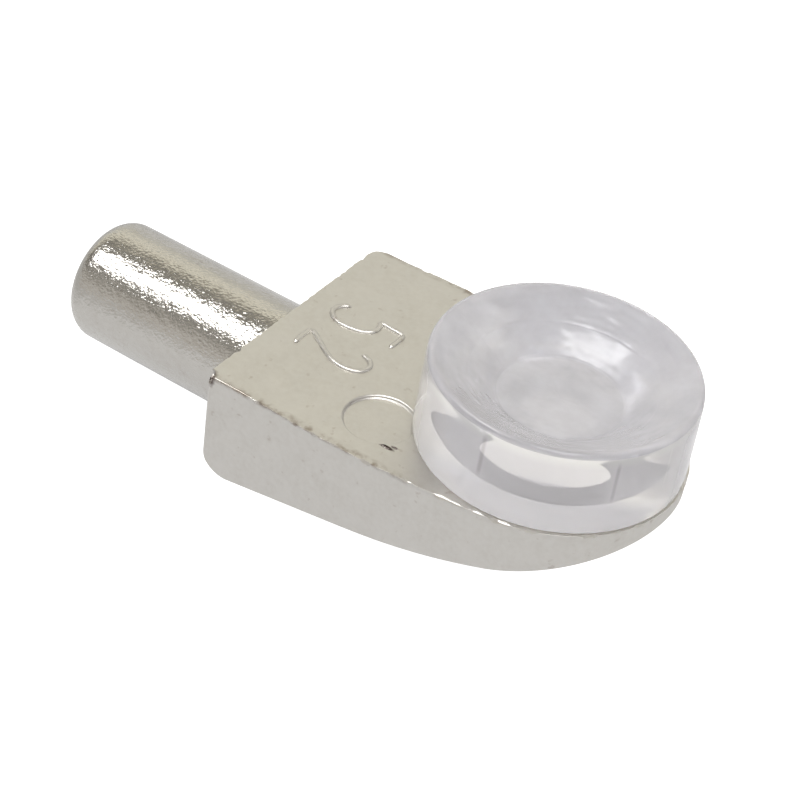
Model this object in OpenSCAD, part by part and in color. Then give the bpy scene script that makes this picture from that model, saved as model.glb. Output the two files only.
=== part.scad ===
// Shelf support pin: a die-cast wedge with a round pin that plugs into a cabinet side,
// and a clear moulded suction pad that grips the underside of a glass shelf.
// Millimetres. The origin is on the pin's axis, at the shoulder that meets the cabinet.
// X runs from the pin towards the nose, Z is up and the shelf lies on the pad's rim.

/* [Pin] */
// Diameter of the pin, for a standard 5 mm shelf hole
pin_d = 5.0; // [4.8:0.1:5.2]
// Length of the pin from the shoulder to its tip
pin_length = 9.3; // [7:0.1:12]
// Rounding of the pin's tip
pin_tip_round = 0.9; // [0.3:0.1:1.4]

/* [Wedge] */
// Length of the wedge from the shoulder to the tip of its nose
wedge_length = 16.2; // [15.8:0.1:17]
// Width of the wedge across its parallel sides
wedge_width = 10.9; // [10.6:0.1:11.6]
// Height of the flat top above the pin's axis
top_height = 3.1; // [2.9:0.1:3.6]
// Depth of the side walls below the pin's axis, were they to reach the shoulder
side_depth = 1.45; // [1.2:0.05:1.8]
// Rise of the straight part of the underside for each mm towards the nose
underside_slope = 0.16; // [0.13:0.005:0.17]
// Distance from the shoulder to where the underside starts to curve up
underside_bend = 7.2; // [6:0.1:8.5]
// Radius of that upward curve
underside_curve = 36; // [34:1:60]
// Rounding of the heel, where the shoulder turns into the underside
heel_round = 1.1; // [0.6:0.1:1.4]
// Rounding of the two upright edges of the shoulder
shoulder_edge_round = 0.3; // [0.2:0.1:1.2]
// Length over which the sides stay parallel
parallel_length = 6.0; // [5:0.1:7]
// Radius of the nose seen from above
nose_round = 5.1; // [5:0.05:5.2]

/* [Keel] */
// Radius of the round keel that carries the pin's root under the wedge
keel_round = 3.1; // [2.8:0.1:3.4]
// Angle at which the keel runs up into the underside
keel_angle = 27; // [24:1:32]

/* [Pad seat] */
// Distance of the pad's centre from the shoulder
pad_centre = 11.2; // [11:0.1:11.4]
// Diameter of the well in the wedge's top that the pad's skirt fits into
well_d = 5.0; // [4.6:0.1:5.4]
// Depth of that well
well_depth = 1.2; // [0.8:0.1:1.3]
// Diameter of the stud in the middle of the well
stud_d = 2.7; // [2.2:0.1:3]
// Height of the stud above the wedge's top
stud_rise = 0.25; // [0.2:0.05:0.8]

/* [Suction pad] */
// Diameter of the pad where it sits on the wedge
pad_base_d = 9.9; // [9.5:0.1:10.1]
// Diameter of the pad over its rim
pad_rim_d = 9.75; // [9.4:0.05:9.9]
// Height of the pad above the wedge's top
pad_height = 3.4; // [2.8:0.1:3.8]
// Depth of the dish in the pad's top
dish_depth = 2.1; // [1.2:0.1:2.4]
// Width of the flat lip around the dish
lip_width = 0.2; // [0.1:0.05:0.5]

/* [Hidden] */
$fn = 96;
past = 1;          // how far a cutting shape reaches past the metal
seam = 0.001;      // how far two curves that meet smoothly reach into one another
pin_r = pin_d / 2;
half_width = wedge_width / 2;
nose_x = wedge_length - nose_round;
rim_z = top_height + pad_height;
well_z = top_height - well_depth;

// The side arcs leave the parallel sides tangentially and run tangent into the nose's arc,
// so their radius follows from where the sides stop and where the nose's centre lies.
bow_run = nose_x - parallel_length;
bow_round = (bow_run * bow_run + half_width * half_width - nose_round * nose_round)
    / (2 * (half_width - nose_round));
// Angle of the line from the bow's centre through the nose's centre to where they meet
meet_angle = atan2(bow_round - half_width, bow_run);
meet_x = nose_x + nose_round * cos(meet_angle);

// The heel's arc leaves the shoulder tangentially and runs into the sloping underside.
slope_angle = atan(underside_slope);
heel_reach = heel_round - seam;
heel_z = -side_depth + underside_slope * heel_round + heel_reach / cos(slope_angle);
heel_touch = [heel_round + heel_reach * sin(slope_angle), heel_z - heel_reach * cos(slope_angle)];
// The underside's curve leaves its straight part tangentially.
bend_touch = [underside_bend, -side_depth + underside_slope * underside_bend];
curve_centre = bend_touch + (underside_curve - seam) * [-sin(slope_angle), cos(slope_angle)];
tip_z = -side_depth + underside_slope * (wedge_length + past);

// The dish is a piece of a ball that starts at the inside of the lip.
dish_r = pad_rim_d / 2 - lip_width;
dish_ball = (dish_r * dish_r + dish_depth * dish_depth) / (2 * dish_depth);

// What a round of radius r leaves of the corner of a square at the origin
module corner_waste(r) {
    difference() {
        translate([-past, -past]) square(r + past);
        translate([r, r]) circle(r);
    }
}

// What the bowed side and the rounded shoulder edge leave on one side of the wedge's blank
module side_waste() {
    difference() {
        translate([parallel_length, 0]) square([wedge_length, half_width + past]);
        translate([parallel_length, half_width + seam - bow_round]) circle(bow_round, $fn = 360);
    }
    translate([0, half_width]) mirror([0, 1]) corner_waste(shoulder_edge_round);
}

// The wedge seen from above: parallel sides, bowed sides and a round nose
module wedge_plan() {
    difference() {
        translate([0, -half_width]) square([wedge_length + past, wedge_width]);
        side_waste();
        mirror([0, 1]) side_waste();
        difference() {
            translate([meet_x, -half_width - past]) square([wedge_length, wedge_width + 2 * past]);
            translate([nose_x, 0]) circle(nose_round + seam);
        }
    }
}

// The wedge seen from the side: flat top, upright shoulder, round heel, rising underside
module wedge_side() {
    difference() {
        union() {
            polygon([[0, heel_z], [heel_round, heel_z], heel_touch, [wedge_length + past, tip_z],
                [wedge_length + past, top_height], [0, top_height]]);
            translate([heel_round, heel_z]) circle(heel_round);
        }
        difference() {
            translate([underside_bend, -side_depth]) square([wedge_length, top_height + side_depth]);
            translate(curve_centre) circle(underside_curve, $fn = 360);
        }
    }
}

// The solid wedge: its plan and its side view, cut from one another
module wedge() {
    intersection() {
        translate([0, 0, -side_depth - past]) linear_extrude(top_height + side_depth + past) wedge_plan();
        translate([0, half_width + past, 0]) rotate([90, 0, 0])
            linear_extrude(wedge_width + 2 * past) wedge_side();
    }
}

// A round keel under the wedge: it carries the pin's root forward and runs out in the underside
module keel() {
    intersection() {
        rotate([0, 90 - keel_angle, 0]) translate([0, 0, -wedge_length])
            cylinder(r = keel_round, h = 2 * wedge_length);
        translate([0, -half_width, -2 * keel_round])
            cube([pad_centre, wedge_width, 2 * keel_round + top_height / 2]);
    }
}

// The pin: a true cylinder with a rounded tip, its root buried in the wedge
module pin() {
    rotate([0, -90, 0]) {
        translate([0, 0, -past]) cylinder(r = pin_r, h = pin_length - pin_tip_round + past);
        rotate_extrude() {
            square([pin_r - pin_tip_round, pin_length]);
            intersection() {
                translate([pin_r - pin_tip_round, pin_length - pin_tip_round]) circle(pin_tip_round);
                translate([0, pin_length - pin_tip_round]) square([pin_r, pin_tip_round]);
            }
        }
    }
}

// The ring-shaped well in the wedge's top, around the stud that centres the pad
module well() {
    translate([pad_centre, 0, well_z]) difference() {
        cylinder(d = well_d, h = well_depth + past);
        cylinder(d = stud_d, h = well_depth + 2 * past);
    }
}

// The casting: wedge, keel, pin and stud in one piece of zinc
module support_body() {
    color([0.76, 0.75, 0.72]) difference() {
        union() {
            wedge();
            keel();
            pin();
            translate([pad_centre, 0, well_z]) cylinder(d = stud_d, h = well_depth + stud_rise);
        }
        well();
    }
}

// The pad: a clear disc with a dish in its top and a skirt in the well, moulded in one piece
module suction_pad() {
    color([0.86, 0.86, 0.9, 0.55]) translate([pad_centre, 0, 0]) difference() {
        union() {
            rotate_extrude() difference() {
                polygon([[0, top_height], [pad_base_d / 2, top_height],
                    [pad_rim_d / 2, rim_z], [0, rim_z]]);
                translate([0, rim_z - dish_depth + dish_ball]) circle(dish_ball, $fn = 240);
            }
            translate([0, 0, well_z]) cylinder(d = well_d, h = well_depth);
        }
        translate([0, 0, well_z - past]) cylinder(d = stud_d, h = well_depth + past + stud_rise);
    }
}

support_body();
suction_pad();
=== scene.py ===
import math

import bmesh
import bpy
import numpy as np
from mathutils import Matrix, Vector, noise


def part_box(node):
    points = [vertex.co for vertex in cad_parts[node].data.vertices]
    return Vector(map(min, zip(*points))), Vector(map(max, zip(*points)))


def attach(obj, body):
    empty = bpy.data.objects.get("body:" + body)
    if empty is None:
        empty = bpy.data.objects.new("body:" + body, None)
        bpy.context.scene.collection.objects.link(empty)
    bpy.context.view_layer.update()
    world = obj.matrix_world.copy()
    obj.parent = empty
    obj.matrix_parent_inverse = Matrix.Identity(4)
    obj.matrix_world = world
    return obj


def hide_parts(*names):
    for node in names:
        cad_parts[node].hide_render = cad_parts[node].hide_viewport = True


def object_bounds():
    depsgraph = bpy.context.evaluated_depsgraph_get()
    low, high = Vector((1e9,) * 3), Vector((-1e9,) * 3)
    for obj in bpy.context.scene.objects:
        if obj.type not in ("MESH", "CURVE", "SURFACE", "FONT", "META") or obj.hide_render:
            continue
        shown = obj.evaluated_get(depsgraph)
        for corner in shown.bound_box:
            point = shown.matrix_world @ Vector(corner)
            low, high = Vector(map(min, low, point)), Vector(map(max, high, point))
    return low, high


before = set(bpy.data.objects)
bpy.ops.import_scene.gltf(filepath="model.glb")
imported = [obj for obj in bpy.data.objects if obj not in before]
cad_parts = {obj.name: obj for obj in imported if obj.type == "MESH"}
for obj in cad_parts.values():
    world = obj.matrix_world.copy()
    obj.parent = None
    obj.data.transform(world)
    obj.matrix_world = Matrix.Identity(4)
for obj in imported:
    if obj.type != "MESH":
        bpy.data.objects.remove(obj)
cad_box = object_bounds()
mm = 0.001

# ---------------------------------------------------------------------------
# Camera. A long lens looks down on the part's near side from beyond its nose,
# turned a little about its own axis.
# ---------------------------------------------------------------------------
camera_aim = Vector((4.804, 0.342, 1.081)) * mm
camera_distance = 74.83 * mm
camera_heading = math.radians(27.95)
camera_tilt = math.radians(38.58)
camera_roll = math.radians(9.42)

camera_data = bpy.data.cameras.new("camera")
camera_data.lens = 90
camera_data.sensor_width = 36
camera_data.clip_start = 1 * mm
camera_data.clip_end = 10
camera = bpy.data.objects.new("camera", camera_data)
camera_turn = (
    Matrix.Rotation(camera_heading, 4, "Z")
    @ Matrix.Rotation(math.pi / 2 - camera_tilt, 4, "X")
    @ Matrix.Rotation(camera_roll, 4, "Z")
)
camera_place = camera_aim + camera_turn @ Vector((0, 0, camera_distance))
camera.matrix_world = Matrix.Translation(camera_place) @ camera_turn
bpy.context.scene.collection.objects.link(camera)
bpy.context.scene.camera = camera
bpy.context.scene.view_settings.view_transform = "Standard"

# ---------------------------------------------------------------------------
# Light tent. Paper walls stand round the part in strips that run along it: a warm panel
# behind, a dark gap overhead and a dim near side. A bright box hangs above the camera, over
# the pin's half of the part. Seen straight on, the paper is white.
# ---------------------------------------------------------------------------
# Each strip's height in degrees, from the far horizon over the part's top, and its colour
tent_strips = [
    (0, (0.94, 0.94, 0.94)),
    (12, (0.79, 0.77, 0.74)),
    (24, (0.66, 0.66, 0.61)),
    (34, (0.79, 0.77, 0.69)),
    (44, (1.02, 0.98, 0.86)),
    (53, (1.24, 1.21, 1.04)),
    (61, (0.76, 0.71, 0.61)),
    (72, (0.38, 0.36, 0.31)),
    (99, (0.27, 0.26, 0.24)),
    (126, (0.26, 0.245, 0.23)),
    (146, (0.37, 0.355, 0.325)),
    (158, (0.56, 0.535, 0.495)),
    (180, (0.80, 0.77, 0.73)),
]
tent_paper = (1.0, 1.0, 1.0)
# The bright box: its height in degrees, and its two ends as the x of a direction of length 1
box_colour = (8.8, 8.8, 8.8)
box_low, box_high, box_edge = 105, 122, 2
box_left, box_right, box_side = -0.66, 0.6, 0.12


def add_node(tree, kind, **settings):
    """Adds a node of a kind, with its settings."""
    node = tree.nodes.new(kind)
    for name, value in settings.items():
        setattr(node, name, value)
    return node


def ranged(tree, value, low, high, from_low=0, from_high=1, curve="LINEAR"):
    """A value brought from one range to another, held within it."""
    node = add_node(tree, "ShaderNodeMapRange", interpolation_type=curve)
    node.inputs["From Min"].default_value = from_low
    node.inputs["From Max"].default_value = from_high
    node.inputs["To Min"].default_value = low
    node.inputs["To Max"].default_value = high
    tree.links.new(value, node.inputs["Value"])
    return node.outputs["Result"]


def math_node(tree, operation, first, second=0):
    """One step of arithmetic on one or two values; either may be a plain number."""
    node = add_node(tree, "ShaderNodeMath", operation=operation)
    for socket, value in zip(node.inputs, (first, second)):
        if isinstance(value, (int, float)):
            socket.default_value = value
        else:
            tree.links.new(value, socket)
    return node.outputs[0]


def blend(tree, share, first, second):
    """A mix of two colours, each given as three numbers or as an output."""
    node = add_node(tree, "ShaderNodeMix", data_type="RGBA")
    tree.links.new(share, node.inputs[0])
    for socket, value in ((node.inputs[6], first), (node.inputs[7], second)):
        if isinstance(value, tuple):
            socket.default_value = (*value, 1)
        else:
            tree.links.new(value, socket)
    return node.outputs[2]


def band(tree, value, low, high, edge):
    """An output that is 1 where the value lies between low and high, with soft edges."""
    rise = ranged(tree, value, 0, 1, low - edge, low + edge, "SMOOTHSTEP")
    fall = ranged(tree, value, 1, 0, high - edge, high + edge, "SMOOTHSTEP")
    return math_node(tree, "MULTIPLY", rise, fall)


world = bpy.data.worlds.new("light_tent")
world.use_nodes = True
bpy.context.scene.world = world
tent = world.node_tree
tent.nodes.clear()
direction = add_node(tent, "ShaderNodeTexCoord")
parts = add_node(tent, "ShaderNodeSeparateXYZ")
tent.links.new(direction.outputs["Generated"], parts.inputs[0])
turn = math_node(tent, "ARCTAN2", parts.outputs["Z"], parts.outputs["Y"])
share = math_node(tent, "DIVIDE", turn, math.pi)
ramp = add_node(tent, "ShaderNodeValToRGB")
tent.links.new(share, ramp.inputs[0])
while len(ramp.color_ramp.elements) < len(tent_strips):
    ramp.color_ramp.elements.new(1.0)
for element, (height, colour) in zip(ramp.color_ramp.elements, tent_strips):
    element.position = height / 180
    element.color = (*colour, 1)
box_height = band(tent, share, box_low / 180, box_high / 180, box_edge / 180)
box_width = band(tent, parts.outputs["X"], box_left, box_right, box_side)
box_light = blend(tent, math_node(tent, "MULTIPLY", box_height, box_width), ramp.outputs[0], box_colour)
seen = add_node(tent, "ShaderNodeLightPath").outputs["Is Camera Ray"]
tent_light = add_node(tent, "ShaderNodeBackground")
tent.links.new(blend(tent, seen, box_light, tent_paper), tent_light.inputs["Color"])
tent_output = add_node(tent, "ShaderNodeOutputWorld")
tent.links.new(tent_light.outputs[0], tent_output.inputs[0])

# ---------------------------------------------------------------------------
# Floor. A sheet of white paper at the height of the part's lowest point, lit from below so
# that it stays white round the part. It lets the view from underneath through.
# ---------------------------------------------------------------------------
floor_half = 1.5
floor_gap = 0.02 * mm
# Along x the glow is dim up to the first place and full from the second
floor_fade = (-24, -11)
floor_dim = (0.25, 0.25, 0.25)
floor_glow = (0.50, 0.50, 0.515)
floor_seen = (1.05, 1.05, 1.05)
floor_paper_colour = (0.27, 0.27, 0.27)
floor_height = cad_box[0].z - floor_gap

floor_mesh = bpy.data.meshes.new("floor")
floor_mesh.from_pydata(
    [(x * floor_half, y * floor_half, floor_height) for x, y in ((-1, -1), (1, -1), (1, 1), (-1, 1))],
    [], [(0, 1, 2, 3)],
)
floor = bpy.data.objects.new("floor", floor_mesh)
bpy.context.scene.collection.objects.link(floor)
floor_paper = bpy.data.materials.new("floor_paper")
floor_paper.use_nodes = True
tree = floor_paper.node_tree
tree.nodes.clear()
paper_seen = add_node(tree, "ShaderNodeLightPath")
paper_side = add_node(tree, "ShaderNodeNewGeometry")
paper_place = add_node(tree, "ShaderNodeSeparateXYZ")
tree.links.new(paper_side.outputs["Position"], paper_place.inputs[0])
paper_fade = ranged(
    tree, paper_place.outputs["X"], 0, 1, floor_fade[0] * mm, floor_fade[1] * mm, "SMOOTHSTEP"
)
paper_shade = blend(tree, paper_fade, floor_dim, floor_glow)
paper_glow = blend(tree, paper_seen.outputs["Is Camera Ray"], paper_shade, floor_seen)
paper_light = add_node(tree, "ShaderNodeEmission")
tree.links.new(paper_glow, paper_light.inputs["Color"])
paper_cloth = add_node(tree, "ShaderNodeBsdfDiffuse")
paper_cloth.inputs["Color"].default_value = (*floor_paper_colour, 1)
paper_sum = add_node(tree, "ShaderNodeAddShader")
tree.links.new(paper_light.outputs[0], paper_sum.inputs[0])
tree.links.new(paper_cloth.outputs[0], paper_sum.inputs[1])
paper_clear = add_node(tree, "ShaderNodeBsdfTransparent")
paper_mix = add_node(tree, "ShaderNodeMixShader")
tree.links.new(paper_side.outputs["Backfacing"], paper_mix.inputs[0])
tree.links.new(paper_sum.outputs[0], paper_mix.inputs[1])
tree.links.new(paper_clear.outputs[0], paper_mix.inputs[2])
paper_output = add_node(tree, "ShaderNodeOutputMaterial")
tree.links.new(paper_mix.outputs[0], paper_output.inputs[0])
floor_mesh.materials.append(floor_paper)

# ---------------------------------------------------------------------------
# Casting. One piece of die-cast zinc with a satin nickel plate: a flat-topped wedge, a round
# pin with a keel under its root, and a well with a stud for the pad. The die left flash round
# the top edge, and the ejector its round print beside a raised mould number.
# ---------------------------------------------------------------------------
body_low, body_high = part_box("support_body")
pad_low, pad_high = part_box("suction_pad")
wedge_length = body_high.x / mm
half_width = body_high.y / mm
top_height = 3.1
keel_bottom = -body_low.z / mm
pin_length = -body_low.x / mm
pad_centre = (pad_low.x + pad_high.x) / 2 / mm
side_depth = 1.45
underside_slope = 0.16
underside_bend = 7.2
underside_curve = 36
heel_round = 1.1
corner_round = 0.28
far_corner_round = 0.65
parallel_length = 6.0
nose_round = 5.1
nose_x = wedge_length - nose_round
bottom_round = 0.07
edge_steps = 6
# The edge's wear stays within this depth, and the flat top starts this far inside the wear
edge_zone = 0.3
top_margin = 0.06
# Levels of the sides below it, as shares of the way up, and the faint swell of the metal there
side_levels = (1.0, 0.94, 0.82, 0.66, 0.5, 0.34, 0.18, 0.05, 0.02)
side_swell = 0.012
swell_size = 2.5


def arc(centre, radius, start, end, count):
    """Points along an arc, each with the direction that points into the metal."""
    angles = np.linspace(start, end, count, endpoint=False)
    out = np.column_stack([np.cos(angles), np.sin(angles)])
    return centre + radius * out, -out


def straight(start, end, inward, count):
    """Points along a straight stretch, each with the direction that points into the metal."""
    share = np.linspace(0, 1, count, endpoint=False)[:, None]
    start, end = np.array(start, float), np.array(end, float)
    return start + share * (end - start), np.tile(np.array(inward, float), (count, 1))


def half_outline(turn_round):
    """Half of the wedge's outline seen from above, from the middle of the shoulder to the nose's tip."""
    bow_run = nose_x - parallel_length
    bow_round = (bow_run**2 + half_width**2 - nose_round**2) / (2 * (half_width - nose_round))
    meet = math.atan2(bow_round - half_width, bow_run)
    corner = (turn_round, half_width - turn_round)
    stretches = [
        straight((0, 0), (0, corner[1]), (1, 0), 70),
        arc(np.array(corner), turn_round, math.pi, math.pi / 2, 12),
        straight((corner[0], half_width), (parallel_length, half_width), (0, -1), 100),
        arc(np.array((parallel_length, half_width - bow_round)), bow_round, math.pi / 2, meet, 70),
        arc(np.array((nose_x, 0)), nose_round, meet, 0, 120),
    ]
    points = np.vstack([stretch[0] for stretch in stretches] + [[(wedge_length, 0)]])
    inward = np.vstack([stretch[1] for stretch in stretches] + [[(-1, 0)]])
    return points, inward


def outline(far_round):
    """The whole outline, from the far half on. Its far back corner may be rounder than its near one."""
    points, inward = half_outline(far_round)
    mirror = np.array([1, -1])
    near_points, near_inward = (values[-2:0:-1] * mirror for values in half_outline(corner_round))
    return np.vstack([points, near_points]), np.vstack([inward, near_inward])


def underside(x):
    """Height of the wedge's underside at a distance from the shoulder."""
    slope = math.atan(underside_slope)
    heel_z = -side_depth + underside_slope * heel_round + heel_round / math.cos(slope)
    curve_x = underside_bend - underside_curve * math.sin(slope)
    curve_z = -side_depth + underside_slope * underside_bend + underside_curve * math.cos(slope)
    heel = heel_z - np.sqrt(np.maximum(heel_round**2 - (heel_round - x) ** 2, 0))
    line = -side_depth + underside_slope * x
    curve = curve_z - np.sqrt(underside_curve**2 - (x - curve_x) ** 2)
    rising = np.where(x < underside_bend, line, curve)
    return np.where(x < heel_round * (1 + math.sin(slope)), heel, rising)


def rough(x, y, size, seed):
    """A smooth uneven value between about -1 and 1 at a place on the outline."""
    spot = Vector((x / size, y / size, seed))
    return noise.noise(spot) + 0.5 * noise.noise(2.3 * spot)


def step_up(value, low, high):
    """0 below low, 1 above high, smooth in between."""
    share = min(max((value - low) / (high - low), 0), 1)
    return share * share * (3 - 2 * share)


# Stretches of the top edge along x, each as where it begins, is full, begins to fade, and is gone
corner_stretch = (0.1, 0.4, 1.4, 2.4)
glint_stretch = (8.2, 9.0, 12.8, 13.6)
flash_stretch = (2.2, 4.2, 6.6, 8.6)


def along_edge(x, stretch):
    """1 along a stretch of the edge, fading at both of its ends."""
    begin, full, fade, gone = stretch
    return step_up(x, begin, full) * (1 - step_up(x, fade, gone))


def edge_wear(x, y):
    """Round and steep wear of the top edge, and how far flash stands out of it, at a place."""
    near_corner = step_up(abs(y), 4.2, 5.2) * along_edge(x, corner_stretch)
    glints = along_edge(x, glint_stretch)
    worn = 0.003 + 0.07 * near_corner + 0.34 * glints * max(0, rough(x, y, 0.5, 5) - 0.05)
    chip = 0.008 + 0.24 * max(0, rough(x, y, 0.42, 3) - 0.05) * (1 - near_corner)
    stretch = step_up(abs(y), 5.2, 5.4) * along_edge(x, flash_stretch)
    flash = 0.012 + 0.075 * stretch
    flash += 0.035 * max(0, rough(x, y, 0.4, 11)) + 0.02 * max(0, rough(x, y, 0.13, 17))
    return worn, chip, flash * (1 - near_corner)


def wedge_mesh():
    """The wedge as rings that follow its outline, from its top face down to its underside."""
    rings = []
    points, inward = outline(far_corner_round)
    wear = [edge_wear(*point) for point in points]
    ring = []
    for point, direction, (worn, chip, _) in zip(points, inward, wear):
        ring.append((*(point + direction * (worn + chip + top_margin)), top_height))
    rings.append(ring)
    for step in range(edge_steps + 1):
        turn = math.pi / 2 * step / edge_steps
        share = step / edge_steps
        ring = []
        for point, direction, (worn, chip, flash) in zip(points, inward, wear):
            inset = worn * (1 - math.sin(turn)) + 0.6 * chip * (1 - share) - flash
            drop = worn * (1 - math.cos(turn)) + chip * share
            spot = point + direction * inset
            ring.append((spot[0], spot[1], top_height - drop))
        rings.append(ring)
    for flash_share, lower in ((1, 0.02), (0.15, 0.05)):
        ring = []
        for point, direction, (worn, chip, flash) in zip(points, inward, wear):
            spot = point - direction * flash_share * flash
            drop = worn + chip + lower + 0.6 * flash * (1 - flash_share)
            ring.append((spot[0], spot[1], top_height - drop))
        rings.append(ring)
    for level in side_levels:
        share = step_up(level, 0.45, 0.95)
        points, inward = outline(corner_round + share * (far_corner_round - corner_round))
        low = underside(points[:, 0]) + bottom_round
        ring = []
        for point, direction, base in zip(points, inward, low):
            spot = Vector((point[0] / swell_size, point[1] / swell_size, level * 2))
            swell = side_swell * step_up(point[0], 0, 0.8) * noise.noise(spot)
            height = base + level * (top_height - edge_zone - base)
            ring.append((point[0] + direction[0] * swell, point[1] + direction[1] * swell, height))
        rings.append(ring)
    points, inward = outline(corner_round)
    for step in range(edge_steps + 2):
        turn = math.pi / 2 * min(step / edge_steps, 1)
        inset = bottom_round * (1 - math.cos(turn)) + (0.05 if step > edge_steps else 0)
        spots = points + inward * inset
        heights = underside(spots[:, 0]) + bottom_round * (1 - math.sin(turn))
        rings.append([(spot[0], spot[1], height) for spot, height in zip(spots, heights)])
    mesh = bmesh.new()
    loops = [[mesh.verts.new(spot) for spot in ring] for ring in rings]
    count = len(points)
    for upper, lower in zip(loops, loops[1:]):
        for i in range(count):
            j = (i + 1) % count
            mesh.faces.new((upper[i], upper[j], lower[j], lower[i]))
    mesh.faces.new(loops[0][::-1])
    last, tip, corner = loops[-1], count // 2, 70
    mesh.faces.new([last[i] for i in range(-corner - 1, corner + 2)])
    for i in range(corner + 1, tip - 1):
        mesh.faces.new((last[i], last[i + 1], last[-i - 1], last[-i]))
    mesh.faces.new((last[tip - 1], last[tip], last[tip + 1]))
    return mesh


def turned(profile, steps, place):
    """A solid turned from a list of (distance along the axis, radius); place makes each point."""
    mesh = bmesh.new()
    rings = []
    for along, radius in profile:
        angles = [2 * math.pi * k / steps for k in range(steps if radius > 0 else 1)]
        rings.append([mesh.verts.new(place(along, radius, angle)) for angle in angles])
    for first, second in zip(rings, rings[1:]):
        for k in range(steps):
            j = (k + 1) % steps
            corners = [first[k % len(first)], first[j % len(first)]]
            corners += [second[j % len(second)], second[k % len(second)]]
            mesh.faces.new(list(dict.fromkeys(corners)))
    bmesh.ops.recalc_face_normals(mesh, faces=mesh.faces)
    return mesh


def about_pin(along, radius, angle):
    """Places points round the pin's axis."""
    return Vector((-along, radius * math.cos(angle), radius * math.sin(angle)))


def upright(x, y):
    """Gives the function that places points round an upright axis at x, y."""
    def place(along, radius, angle):
        return Vector((x + radius * math.cos(angle), y + radius * math.sin(angle), along))
    return place


pin_radius = 2.5
pin_tip_round = 0.9
pin_root_round = 0.45
pin_root_sink = 0.03
pin_depth = 1.5


def pin_profile():
    """Half section of the pin: buried root, fillet at the shoulder, straight shank, rounded tip."""
    quarter = np.linspace(0, math.pi / 2, 13)
    root = [
        (pin_root_round * (1 - math.cos(a)) - pin_root_sink, pin_radius + pin_root_round * (1 - math.sin(a)))
        for a in quarter
    ]
    tip_along, tip_radius = pin_length - pin_tip_round, pin_radius - pin_tip_round
    tip = [
        (tip_along + pin_tip_round * math.sin(a), tip_radius + pin_tip_round * math.cos(a))
        for a in quarter
    ]
    shank = [(along, pin_radius) for along in np.arange(pin_root_round + 0.2, tip_along - 0.1, 0.2)]
    end = [(pin_length, tip_radius * share) for share in (0.8, 0.4, 0)]
    return [(-pin_depth, 0), (-pin_depth, root[0][1])] + root + shank + tip + end


def solid(name, mesh):
    """Turns a finished mesh into an object at the origin, still in millimetres."""
    data = bpy.data.meshes.new(name)
    mesh.to_mesh(data)
    mesh.free()
    made = bpy.data.objects.new(name, data)
    bpy.context.scene.collection.objects.link(made)
    return made


def combine(base, tool, operation):
    """Joins a tool solid to the base or cuts it away, and removes the tool."""
    modifier = base.modifiers.new("combine", "BOOLEAN")
    modifier.operation = operation
    modifier.solver = "MANIFOLD"
    modifier.object = tool
    graph = bpy.context.evaluated_depsgraph_get()
    result = bpy.data.meshes.new_from_object(base.evaluated_get(graph))
    base.modifiers.clear()
    base.data = result
    bpy.data.objects.remove(tool)


# Corners closer than this are one corner: the cuts leave slivers between them
weld_reach = 0.00001


def weld_slivers(base):
    """Joins the corners that lie almost on one another, so that no face is left without an area."""
    mesh = bmesh.new()
    mesh.from_mesh(base.data)
    bmesh.ops.remove_doubles(mesh, verts=mesh.verts, dist=weld_reach)
    mesh.to_mesh(base.data)
    mesh.free()


def in_metres(made):
    """Brings a finished solid from millimetres to its real size."""
    made.data.transform(Matrix.Diagonal((mm, mm, mm, 1)))


keel_angle = math.radians(27)
keel_round = keel_bottom * math.cos(keel_angle)
keel_back = 0.01
keel_front = 6.6
keel_level = 1.5


def keel_mesh():
    """The keel: a tilted round bar, cut upright at both ends and level inside the wedge."""
    mesh = bmesh.new()
    rows = []
    for x in np.linspace(keel_back, keel_front, 34):
        middle = x * math.tan(keel_angle)
        start = math.asin(max(0, middle - keel_level) / keel_bottom)
        row = []
        for angle in np.linspace(start, math.pi - start, 65):
            height = min(middle - keel_bottom * math.sin(angle), keel_level)
            row.append(mesh.verts.new((x, keel_round * math.cos(angle), height)))
        rows.append(row)
    for first, second in zip(rows, rows[1:]):
        for k in range(len(first) - 1):
            mesh.faces.new((first[k], first[k + 1], second[k + 1], second[k]))
        mesh.faces.new((first[-1], first[0], second[0], second[-1]))
    mesh.faces.new(rows[0])
    mesh.faces.new(rows[-1][::-1])
    bmesh.ops.recalc_face_normals(mesh, faces=mesh.faces)
    return mesh


well_radius = 2.5
well_low = top_height - 1.2
stud_radius = 1.35
stud_top = top_height + 0.25
well_cut = [(well_low, 0), (well_low, well_radius), (top_height + 1, well_radius), (top_height + 1, 0)]
stud_edge = 0.05
stud_root = well_low - 0.3
stud = [(stud_root, 0), (stud_root, stud_radius), (stud_top - stud_edge, stud_radius)]
stud += [(stud_top, stud_radius - stud_edge), (stud_top, 0)]

print_centre = (6.05, -3.27)
print_radius = 1.31
print_depth = 0.13
print_lip = 0.09
print_low = top_height - print_depth
print_cut = [(print_low, 0), (print_low, print_radius - 0.04)]
for angle in np.linspace(0, math.radians(75), 7):
    print_cut.append((
        top_height - print_lip * (1 - math.sin(angle)),
        print_radius + print_lip * (1 - math.cos(angle)),
    ))
print_cut += [(top_height + 0.4, print_radius + print_lip), (top_height + 0.4, 0)]

# Nicks: centre, and half lengths along x, y and z
nicks = [
    ((0.0, -5.50, 2.98), (0.30, 0.40, 0.34)),
    ((7.08, -4.38, 3.1), (0.26, 0.075, 0.08)),
    ((7.32, -4.22, 3.1), (0.12, 0.05, 0.05)),
]


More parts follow.
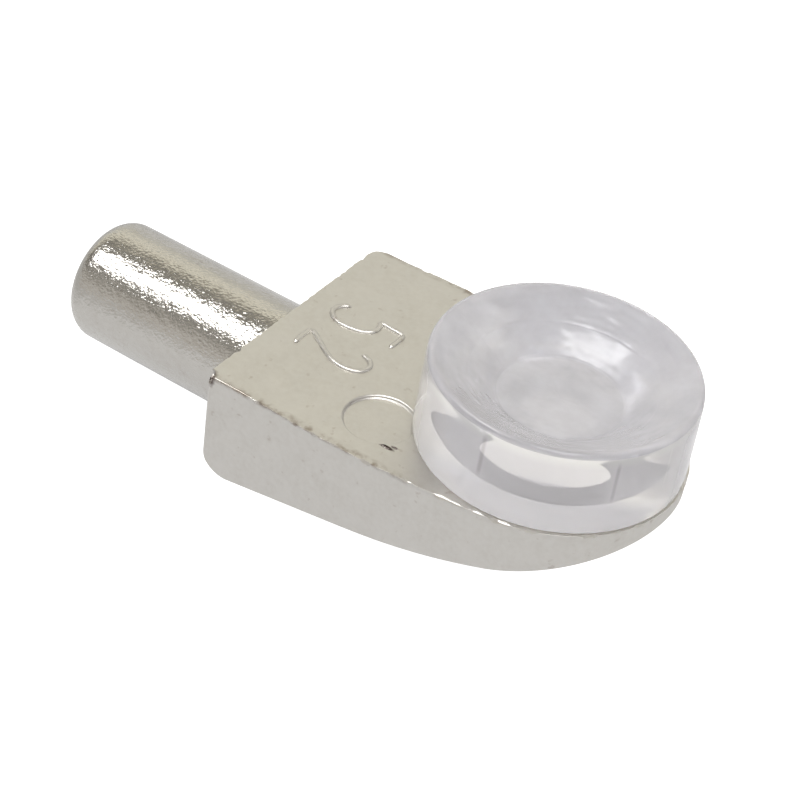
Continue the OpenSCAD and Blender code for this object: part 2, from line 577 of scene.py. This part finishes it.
def nick_mesh(centre, halves, seed):
    """A small lumpy solid that leaves a nick where it is cut out of the casting."""
    mesh = bmesh.new()
    bmesh.ops.create_icosphere(mesh, subdivisions=4, radius=1)
    for corner in mesh.verts:
        lump = 1 + 0.35 * noise.noise(corner.co * 1.7 + Vector((seed, 0, 0)))
        corner.co = Vector(centre) + Vector([part * half * lump for part, half in zip(corner.co, halves)])
    return mesh


casting = solid("casting", wedge_mesh())
combine(casting, solid("keel", keel_mesh()), "UNION")
combine(casting, solid("pin", turned(pin_profile(), 144, about_pin)), "UNION")
combine(casting, solid("well", turned(well_cut, 96, upright(pad_centre, 0))), "DIFFERENCE")
combine(casting, solid("stud", turned(stud, 96, upright(pad_centre, 0))), "UNION")
combine(casting, solid("print", turned(print_cut, 96, upright(*print_centre))), "DIFFERENCE")
for order, (centre, halves) in enumerate(nicks):
    combine(casting, solid("nick", nick_mesh(centre, halves, 5.0 * order)), "DIFFERENCE")


# Faces this large count as level when they face straight up
level_area = 0.02


def keep_top_flat(base):
    """Shades the level faces flat, and creases their edges with faces that slope away."""
    mesh = bmesh.new()
    mesh.from_mesh(base.data)
    for face in mesh.faces:
        in_top = all(abs(corner.co.z - top_height) < 1e-4 for corner in face.verts)
        if in_top or face.normal.z > 0.99999 and face.calc_area() > level_area:
            face.smooth = False
            for edge in face.edges:
                edge.smooth = all(other.normal.z > 0.9999 for other in edge.link_faces)
    mesh.to_mesh(base.data)
    mesh.free()


# Strokes of the mould number, in shares of a digit's width and height
digit_strokes = {
    "5": [
        [(0.95, 1.0), (0.5, 1.01), (0.10, 1.0)],
        [(0.10, 1.0), (0.07, 0.8), (0.03, 0.60)],
        [
            (0.03, 0.60), (0.20, 0.65), (0.40, 0.67), (0.62, 0.65), (0.84, 0.55), (0.96, 0.40), (0.97, 0.24),
            (0.84, 0.09), (0.62, 0.01), (0.38, 0.0), (0.16, 0.05), (0.0, 0.14),
        ],
    ],
    "2": [
        [
            (0.03, 0.79), (0.10, 0.91), (0.28, 0.99), (0.50, 1.01), (0.74, 0.97), (0.92, 0.86), (0.96, 0.70),
            (0.86, 0.53), (0.62, 0.36), (0.34, 0.20), (0.14, 0.08), (0.04, 0.0),
        ],
        [(0.04, 0.0), (0.5, -0.01), (0.98, 0.0)],
    ],
}
digit_width = 1.15
digit_height = 2.9
# Each digit's lower left corner on the top face; the digits stand with their heads towards the nose
digit_places = [("5", (1.10, 1.47)), ("2", (1.20, -0.65))]
stroke_round = 0.11
stroke_sink = 0.012
stroke_step = 0.06
stroke_unevenness = 0.06
stroke_pattern = 0.4
stroke_seed = 3.0


def bead_tree():
    """Geometry Nodes that lay a bead of metal, with rounded ends and an uneven course, along a path."""
    tree = bpy.data.node_groups.new("bead_on_path", "GeometryNodeTree")
    face = tree.interface
    face.new_socket("Path", in_out="INPUT", socket_type="NodeSocketGeometry")
    for name, value in (("Radius", 0.1), ("Step", 0.05), ("Unevenness", 0.01), ("Pattern Size", 1.0)):
        socket = face.new_socket(name, in_out="INPUT", socket_type="NodeSocketFloat")
        socket.default_value = value
    face.new_socket("Seed", in_out="INPUT", socket_type="NodeSocketFloat")
    face.new_socket("Material", in_out="INPUT", socket_type="NodeSocketMaterial")
    face.new_socket("Bead", in_out="OUTPUT", socket_type="NodeSocketGeometry")
    given = add_node(tree, "NodeGroupInput")
    curve = add_node(tree, "GeometryNodeMeshToCurve")
    tree.links.new(given.outputs["Path"], curve.inputs["Mesh"])
    steps = add_node(tree, "GeometryNodeResampleCurve", mode="LENGTH")
    tree.links.new(curve.outputs[0], steps.inputs["Curve"])
    tree.links.new(given.outputs["Step"], steps.inputs["Length"])
    where = add_node(tree, "GeometryNodeInputPosition")
    scale = math_node(tree, "DIVIDE", 1, given.outputs["Pattern Size"])
    pattern = add_node(tree, "ShaderNodeTexNoise", noise_dimensions="4D")
    pattern.inputs["Detail"].default_value = 1
    tree.links.new(where.outputs[0], pattern.inputs["Vector"])
    tree.links.new(given.outputs["Seed"], pattern.inputs["W"])
    tree.links.new(scale, pattern.inputs["Scale"])
    centred = add_node(tree, "ShaderNodeVectorMath", operation="SUBTRACT")
    tree.links.new(pattern.outputs["Color"], centred.inputs[0])
    centred.inputs[1].default_value = (0.5, 0.5, 0.5)
    shift = add_node(tree, "ShaderNodeVectorMath", operation="SCALE")
    tree.links.new(centred.outputs[0], shift.inputs[0])
    tree.links.new(given.outputs["Unevenness"], shift.inputs["Scale"])
    moved = add_node(tree, "GeometryNodeSetPosition")
    tree.links.new(steps.outputs[0], moved.inputs["Geometry"])
    tree.links.new(shift.outputs[0], moved.inputs["Offset"])
    along = add_node(tree, "GeometryNodeSplineParameter")
    whole = add_node(tree, "GeometryNodeSplineLength")
    rest = math_node(tree, "SUBTRACT", whole.outputs["Length"], along.outputs["Length"])
    end = math_node(tree, "MINIMUM", along.outputs["Length"], rest)
    taper = add_node(tree, "ShaderNodeMapRange", interpolation_type="SMOOTHSTEP")
    taper.inputs["To Min"].default_value = 0.35
    tree.links.new(end, taper.inputs["Value"])
    tree.links.new(given.outputs["Radius"], taper.inputs["From Max"])
    ring = add_node(tree, "GeometryNodeCurvePrimitiveCircle")
    ring.inputs["Resolution"].default_value = 12
    tree.links.new(given.outputs["Radius"], ring.inputs["Radius"])
    bead = add_node(tree, "GeometryNodeCurveToMesh")
    tree.links.new(moved.outputs[0], bead.inputs["Curve"])
    tree.links.new(ring.outputs[0], bead.inputs["Profile Curve"])
    tree.links.new(taper.outputs[0], bead.inputs["Scale"])
    bead.inputs["Fill Caps"].default_value = True
    plain = add_node(tree, "GeometryNodeRealizeInstances")
    tree.links.new(bead.outputs[0], plain.inputs[0])
    coated = add_node(tree, "GeometryNodeSetMaterial")
    tree.links.new(plain.outputs[0], coated.inputs["Geometry"])
    tree.links.new(given.outputs["Material"], coated.inputs["Material"])
    result = add_node(tree, "NodeGroupOutput")
    tree.links.new(coated.outputs[0], result.inputs[0])
    return tree


def laid_bead(name, points, tree, values):
    """A bead laid along the points, as a plain mesh object."""
    path = bpy.data.meshes.new(name)
    path.from_pydata([Vector(point) for point in points], [(i, i + 1) for i in range(len(points) - 1)], [])
    made = bpy.data.objects.new(name, path)
    bpy.context.scene.collection.objects.link(made)
    modifier = made.modifiers.new("bead", "NODES")
    modifier.node_group = tree
    for socket in tree.interface.items_tree:
        if socket.name in values:
            modifier[socket.identifier] = values[socket.name]
    graph = bpy.context.evaluated_depsgraph_get()
    made.data = bpy.data.meshes.new_from_object(made.evaluated_get(graph))
    made.modifiers.clear()
    return made


def rounded(points, steps=6):
    """A smooth line through the points."""
    ends = [np.array(points[0]) * 2 - np.array(points[1])] + [np.array(p) for p in points]
    ends.append(np.array(points[-1]) * 2 - np.array(points[-2]))
    line = []
    for a, b, c, d in zip(ends, ends[1:], ends[2:], ends[3:]):
        for t in np.linspace(0, 1, steps, endpoint=False):
            bend = (2 * a - 5 * b + 4 * c - d) * t**2
            twist = (3 * b - a - 3 * c + d) * t**3
            line.append(0.5 * (2 * b + (c - a) * t + bend + twist))
    return line + [ends[-2]]


nickel = bpy.data.materials.new("satin_nickel")
beads = bead_tree()
for order, (digit, (left_x, left_y)) in enumerate(digit_places):
    for stroke in digit_strokes[digit]:
        line = [
            (left_x + up * digit_height, left_y - across * digit_width, top_height - stroke_sink)
            for across, up in rounded(stroke)
        ]
        values = {
            "Radius": stroke_round, "Step": stroke_step, "Unevenness": stroke_unevenness,
            "Pattern Size": stroke_pattern, "Seed": stroke_seed + order, "Material": nickel,
        }
        combine(casting, laid_bead("digit", line, beads, values), "UNION")


def uneven_group():
    """A shader group that gives an uneven value from 0 to 1, its pattern as large as Size."""
    tree = bpy.data.node_groups.new("uneven", "ShaderNodeTree")
    tree.interface.new_socket("Place", in_out="INPUT", socket_type="NodeSocketVector")
    for name in ("Size", "Seed", "Detail"):
        tree.interface.new_socket(name, in_out="INPUT", socket_type="NodeSocketFloat")
    tree.interface.new_socket("Value", in_out="OUTPUT", socket_type="NodeSocketFloat")
    given = add_node(tree, "NodeGroupInput")
    scale = math_node(tree, "DIVIDE", 1, given.outputs["Size"])
    pattern = add_node(tree, "ShaderNodeTexNoise", noise_dimensions="4D")
    tree.links.new(given.outputs["Detail"], pattern.inputs["Detail"])
    tree.links.new(given.outputs["Place"], pattern.inputs["Vector"])
    tree.links.new(given.outputs["Seed"], pattern.inputs["W"])
    tree.links.new(scale, pattern.inputs["Scale"])
    spread = add_node(tree, "ShaderNodeMath", operation="MULTIPLY_ADD")
    tree.links.new(pattern.outputs["Fac"], spread.inputs[0])
    spread.inputs[1].default_value = 2
    spread.inputs[2].default_value = -0.5
    result = add_node(tree, "NodeGroupOutput")
    tree.links.new(spread.outputs[0], result.inputs[0])
    return tree


def pattern_node(tree, group, place, size, seed, detail=2):
    """Adds the shared uneven pattern to a material and gives its output."""
    node = add_node(tree, "ShaderNodeGroup", node_tree=group)
    node.inputs["Detail"].default_value = detail
    node.inputs["Size"].default_value = size * mm
    node.inputs["Seed"].default_value = seed
    tree.links.new(place, node.inputs["Place"])
    return node.outputs["Value"]


uneven = uneven_group()
nickel.use_nodes = True
tree = nickel.node_tree
tree.nodes.clear()
shader = add_node(tree, "ShaderNodeBsdfPrincipled")
shader.inputs["Metallic"].default_value = 1.0
here = add_node(tree, "ShaderNodeTexCoord").outputs["Object"]
axes = add_node(tree, "ShaderNodeSeparateXYZ")
tree.links.new(here, axes.inputs[0])
on_pin = ranged(tree, axes.outputs["X"], 0, 1, 0.1 * mm, -0.35 * mm)
on_wedge = math_node(tree, "SUBTRACT", 1, on_pin)

# Relief: ripples on the pin, a slow swell and fine grain on the wedge.
# Each layer's pattern size and height in millimetres, and its seed
pin_layers = [(0.3, 0.018, 1.0), (0.1, 0.012, 2.0)]
wedge_layers = [(1.4, 0.008, 3.0), (0.22, 0.0022, 5.0)]
reliefs = []
for layers, mask in ((pin_layers, on_pin), (wedge_layers, on_wedge)):
    first, second = [
        math_node(tree, "MULTIPLY", pattern_node(tree, uneven, here, size, seed), height)
        for size, height, seed in layers
    ]
    reliefs.append(math_node(tree, "MULTIPLY", math_node(tree, "ADD", first, second), mask))
relief = math_node(tree, "ADD", *reliefs)
bump = add_node(tree, "ShaderNodeBump")
bump.inputs["Distance"].default_value = 1 * mm
tree.links.new(relief, bump.inputs["Height"])
tree.links.new(bump.outputs[0], shader.inputs["Normal"])

# Colour: a fine speckle over slow clouds, a few brown specks, dirt by the edges, and painted shade in the
# nicks
plate_dark = (0.565, 0.543, 0.506)
plate_light = (0.625, 0.612, 0.58)
plate_cloud = (0.64, 0.624, 0.592)
speck_brown = (0.37, 0.31, 0.265)
pin_brown = (0.28, 0.26, 0.215)
pin_share = 0.14
edge_brown = (0.30, 0.255, 0.215)
nick_painted_shade = (0.10, 0.075, 0.065)
wedge_roughness = (0.38, 0.46)
pin_roughness_less = 0.25
speckle = pattern_node(tree, uneven, here, 0.2, 6.0)
clouds = pattern_node(tree, uneven, here, 1.1, 7.0, 4)
plate = blend(tree, speckle, plate_dark, plate_light)
plate = blend(tree, ranged(tree, clouds, 0, 0.75), plate, plate_cloud)
specks = ranged(tree, pattern_node(tree, uneven, here, 0.3, 8.0, 3), 0, 0.45, 0.8, 1.0)
plate = blend(tree, specks, plate, speck_brown)
plate = blend(tree, math_node(tree, "MULTIPLY", on_pin, pin_share), plate, pin_brown)
from_side = math_node(tree, "ABSOLUTE", axes.outputs["Y"])
by_edge = ranged(tree, from_side, 0, 1, 5.15 * mm, 5.42 * mm)
on_top = ranged(tree, axes.outputs["Z"], 0, 1, 2.9 * mm, 3.05 * mm)
dirt = ranged(tree, pattern_node(tree, uneven, here, 0.35, 12.0, 3), 0.1, 0.85, 0.42, 0.75)
dirt = math_node(tree, "MULTIPLY", dirt, math_node(tree, "MULTIPLY", by_edge, on_top))
plate = blend(tree, dirt, plate, edge_brown)
# Painted shade: the inside of each nick is painted nearly black
for centre, halves in nicks:
    away = add_node(tree, "ShaderNodeVectorMath", operation="SUBTRACT")
    tree.links.new(here, away.inputs[0])
    away.inputs[1].default_value = Vector(centre) * mm
    share = add_node(tree, "ShaderNodeVectorMath", operation="DIVIDE")
    tree.links.new(away.outputs[0], share.inputs[0])
    share.inputs[1].default_value = Vector(halves) * mm
    length = add_node(tree, "ShaderNodeVectorMath", operation="LENGTH")
    tree.links.new(share.outputs[0], length.inputs[0])
    ragged = math_node(tree, "ADD", length.outputs["Value"], math_node(tree, "MULTIPLY", speckle, 0.4))
    plate = blend(tree, ranged(tree, ragged, 0, 0.9, 1.6, 1.15), plate, nick_painted_shade)
tree.links.new(plate, shader.inputs["Base Color"])
wedge_finish = ranged(tree, pattern_node(tree, uneven, here, 0.6, 9.0), *wedge_roughness)
pin_finish = math_node(tree, "MULTIPLY", on_pin, -pin_roughness_less)
tree.links.new(math_node(tree, "ADD", wedge_finish, pin_finish), shader.inputs["Roughness"])
output = add_node(tree, "ShaderNodeOutputMaterial")
tree.links.new(shader.outputs[0], output.inputs[0])

casting.data.materials.clear()
casting.data.materials.append(nickel)
weld_slivers(casting)
casting.data.polygons.foreach_set("use_smooth", [True] * len(casting.data.polygons))
casting.data.set_sharp_from_angle(angle=math.radians(35))
keep_top_flat(casting)
in_metres(casting)
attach(casting, "root")
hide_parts("support_body")

# ---------------------------------------------------------------------------
# Suction pad. One soft clear moulding: a thick disc with a polished wall and a rubbed dish
# in its top, and a short skirt below it that is pushed over the stud into the casting's well.
# ---------------------------------------------------------------------------
pad_base_radius = (pad_high.x - pad_low.x) / 2 / mm
pad_rim_radius = 4.875
pad_top = pad_high.z / mm
pad_gap = 0.02
pad_foot_round = 0.03
pad_rim_tall = 0.34
pad_rim_wide = 0.19
# Slope of the dish's surface, in degrees, at distances from its middle: a flat floor, a steep
# ring, a crease, and an even wall up to the rim
dish_reach = (0, 2.1, 2.24, 2.28, 2.34, 2.4, 2.9, 3.3, 3.34, 3.4, 3.44, 3.5, 4.5, 4.62, 4.68)
dish_slope = (0, 2, 8, 30, 22, 36, 38, 34, 26, 38, 33, 29, 29, 20, 0)
lip_inner = dish_reach[-1]
# Upright stripes painted on the upper wall, two dark and one white: direction from the middle, half width
# and colour
wall_stripes = [
    (-93.0, 0.07, (0.62, 0.58, 0.62)),
    (-38.0, 0.06, (0.60, 0.57, 0.61)),
    (-12.0, 0.04, (1.0, 1.0, 1.0)),
]
# Dents in the dish: place on the top, radius and depth
dish_dents = [((13.45, 3.35), 0.45, 0.05), ((9.9, 3.6), 0.7, 0.03), ((14.3, -1.6), 0.6, 0.025)]
dent_edge = lip_inner - 0.05
wall_colour = (0.925, 0.915, 0.945)
# Painted light for the band below the rim
rim_painted_light = (1.0, 1.0, 1.0)
dish_light = (0.925, 0.925, 0.98)
dish_dark = (0.785, 0.78, 0.825)
# Painted shade for the dish's near side
dish_near_painted_shade = (0.615, 0.605, 0.635)
dish_roughness = (0.11, 0.26)
wall_roughness = 0.04
rub_depth = 0.04


def pad_profile():
    """Half section: over the stud, round the skirt, along the base, up the wall, into the dish."""
    base = top_height + pad_gap
    skirt = well_radius - pad_gap
    skirt_low = well_low + pad_gap
    quarter = np.linspace(0, math.pi / 2, 9)
    points = [(stud_top + pad_gap, 0), (stud_top + pad_gap, stud_radius + pad_gap)]
    points += [(skirt_low, stud_radius + pad_gap), (skirt_low, skirt), (base, skirt)]
    foot = pad_base_radius - pad_foot_round
    points += [
        (base + pad_foot_round * (1 - math.cos(a)), foot + pad_foot_round * math.sin(a))
        for a in quarter
    ]
    lean = (pad_base_radius - pad_rim_radius) / (pad_top - top_height)
    for height in np.linspace(base + 0.4, pad_top - pad_rim_tall - 0.1, 8):
        points.append((height, pad_base_radius - lean * (height - top_height)))
    rim = pad_rim_radius - pad_rim_wide
    points += [
        (pad_top - pad_rim_tall * (1 - math.sin(a)), rim + pad_rim_wide * math.cos(a))
        for a in quarter
    ]
    reach = np.linspace(lip_inner, 0, 239)
    middle = (reach[1:] + reach[:-1]) / 2
    drop = np.tan(np.radians(np.interp(middle, dish_reach, dish_slope))) * (reach[:-1] - reach[1:])
    heights = pad_top - np.concatenate([[0], np.cumsum(drop)])
    points += list(zip(heights, reach))
    return points


def pad_mesh():
    """The pad, with its dish pressed out of true in a few places."""
    mesh = turned(pad_profile(), 192, upright(pad_centre, 0))
    for corner in mesh.verts:
        low = corner.co.z < stud_top + 2 * pad_gap
        if low or math.dist(corner.co.xy, (pad_centre, 0)) > dent_edge:
            continue
        for spot, radius, depth in dish_dents:
            away = math.dist(corner.co.xy, spot) / radius
            corner.co.z -= depth * math.exp(-away * away)
    return mesh


pad = solid("pad", pad_mesh())
clear = bpy.data.materials.new("clear_plastic")
clear.use_nodes = True
tree = clear.node_tree
tree.nodes.clear()
shader = add_node(tree, "ShaderNodeBsdfPrincipled")
shader.inputs["IOR"].default_value = 1.5
shader.inputs["Transmission Weight"].default_value = 0.66
coordinates = add_node(tree, "ShaderNodeTexCoord")
place = add_node(tree, "ShaderNodeSeparateXYZ")
tree.links.new(coordinates.outputs["Object"], place.inputs[0])
flat_place = add_node(tree, "ShaderNodeCombineXYZ")
tree.links.new(place.outputs["X"], flat_place.inputs[0])
tree.links.new(place.outputs["Y"], flat_place.inputs[1])
from_middle = add_node(tree, "ShaderNodeVectorMath", operation="SUBTRACT")
tree.links.new(flat_place.outputs[0], from_middle.inputs[0])
from_middle.inputs[1].default_value = (pad_centre * mm, 0, 0)
reach = add_node(tree, "ShaderNodeVectorMath", operation="LENGTH")
tree.links.new(from_middle.outputs[0], reach.inputs[0])
in_dish = math_node(tree, "LESS_THAN", reach.outputs["Value"], (pad_rim_radius - 0.02) * mm)
above = math_node(tree, "GREATER_THAN", place.outputs["Z"], (top_height + 0.5) * mm)
rubbed = math_node(tree, "MULTIPLY", in_dish, above)
rim_low = (pad_top - pad_rim_tall) * mm
rim_high = (pad_top - 0.5 * pad_rim_tall) * mm
on_rim = ranged(tree, place.outputs["Z"], 0, 1, rim_low, rim_high)
soft = math_node(tree, "MAXIMUM", rubbed, on_rim)

# Rub marks run round the dish: the pattern is stretched along the turn
side = add_node(tree, "ShaderNodeSeparateXYZ")
tree.links.new(from_middle.outputs[0], side.inputs[0])
around = math_node(tree, "ARCTAN2", side.outputs["Y"], side.outputs["X"])
around_place = math_node(tree, "MULTIPLY", around, 1.6 * mm)
rub_place = add_node(tree, "ShaderNodeCombineXYZ")
tree.links.new(reach.outputs["Value"], rub_place.inputs[0])
tree.links.new(around_place, rub_place.inputs[1])
rub = pattern_node(tree, uneven, rub_place.outputs[0], 0.5, 4.0, 1)
cloud = pattern_node(tree, uneven, coordinates.outputs["Object"], 0.9, 9.0, 3)
off_middle = ranged(tree, reach.outputs["Value"], 0.1, 1, 1.4 * mm, 2.4 * mm)
marks = math_node(tree, "MULTIPLY", math_node(tree, "MULTIPLY", rub, off_middle), rubbed)
bump = add_node(tree, "ShaderNodeBump")
bump.inputs["Distance"].default_value = rub_depth * mm
tree.links.new(marks, bump.inputs["Height"])
tree.links.new(bump.outputs[0], shader.inputs["Normal"])
gloss = ranged(tree, cloud, *dish_roughness)
finish = add_node(tree, "ShaderNodeMix")
finish.inputs[2].default_value = wall_roughness
tree.links.new(soft, finish.inputs[0])
tree.links.new(gloss, finish.inputs[3])
tree.links.new(finish.outputs[0], shader.inputs["Roughness"])
dish = blend(tree, cloud, dish_light, dish_dark)
wall = wall_colour
# Painted light: a white band round the top of the outer wall, just below the rim
rim_light_share = ranged(tree, place.outputs["Z"], 0, 1, (pad_top - 0.6) * mm, (pad_top - 0.3) * mm)
stripe_foot = ranged(tree, place.outputs["Z"], 0, 1, (pad_top - 2.1) * mm, (pad_top - 1.8) * mm)
# Upright stripes painted on the wall, fading out towards its foot
for angle, width, stripe_colour in wall_stripes:
    off = math_node(tree, "ABSOLUTE", math_node(tree, "SUBTRACT", around, math.radians(angle)))
    line = ranged(tree, off, 0.7, 0, 0.4 * width / pad_rim_radius, 1.6 * width / pad_rim_radius)
    line = math_node(tree, "MULTIPLY", line, stripe_foot)
    wall = blend(tree, line, wall, stripe_colour)
wall = blend(tree, rim_light_share, wall, rim_painted_light)
# Painted shade: the dish darkens towards its near side, where the near wall's shadow falls on it
near_shade_share = ranged(tree, place.outputs["Y"], 0, 0.55, -2.4 * mm, -4.3 * mm)
dish = blend(tree, near_shade_share, dish, dish_near_painted_shade)
tree.links.new(blend(tree, rubbed, wall, dish), shader.inputs["Base Color"])
output = add_node(tree, "ShaderNodeOutputMaterial")
tree.links.new(shader.outputs[0], output.inputs[0])
pad.data.materials.append(clear)
pad.data.polygons.foreach_set("use_smooth", [True] * len(pad.data.polygons))
pad.data.set_sharp_from_angle(angle=math.radians(40))
in_metres(pad)
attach(pad, "root")
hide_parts("suction_pad")
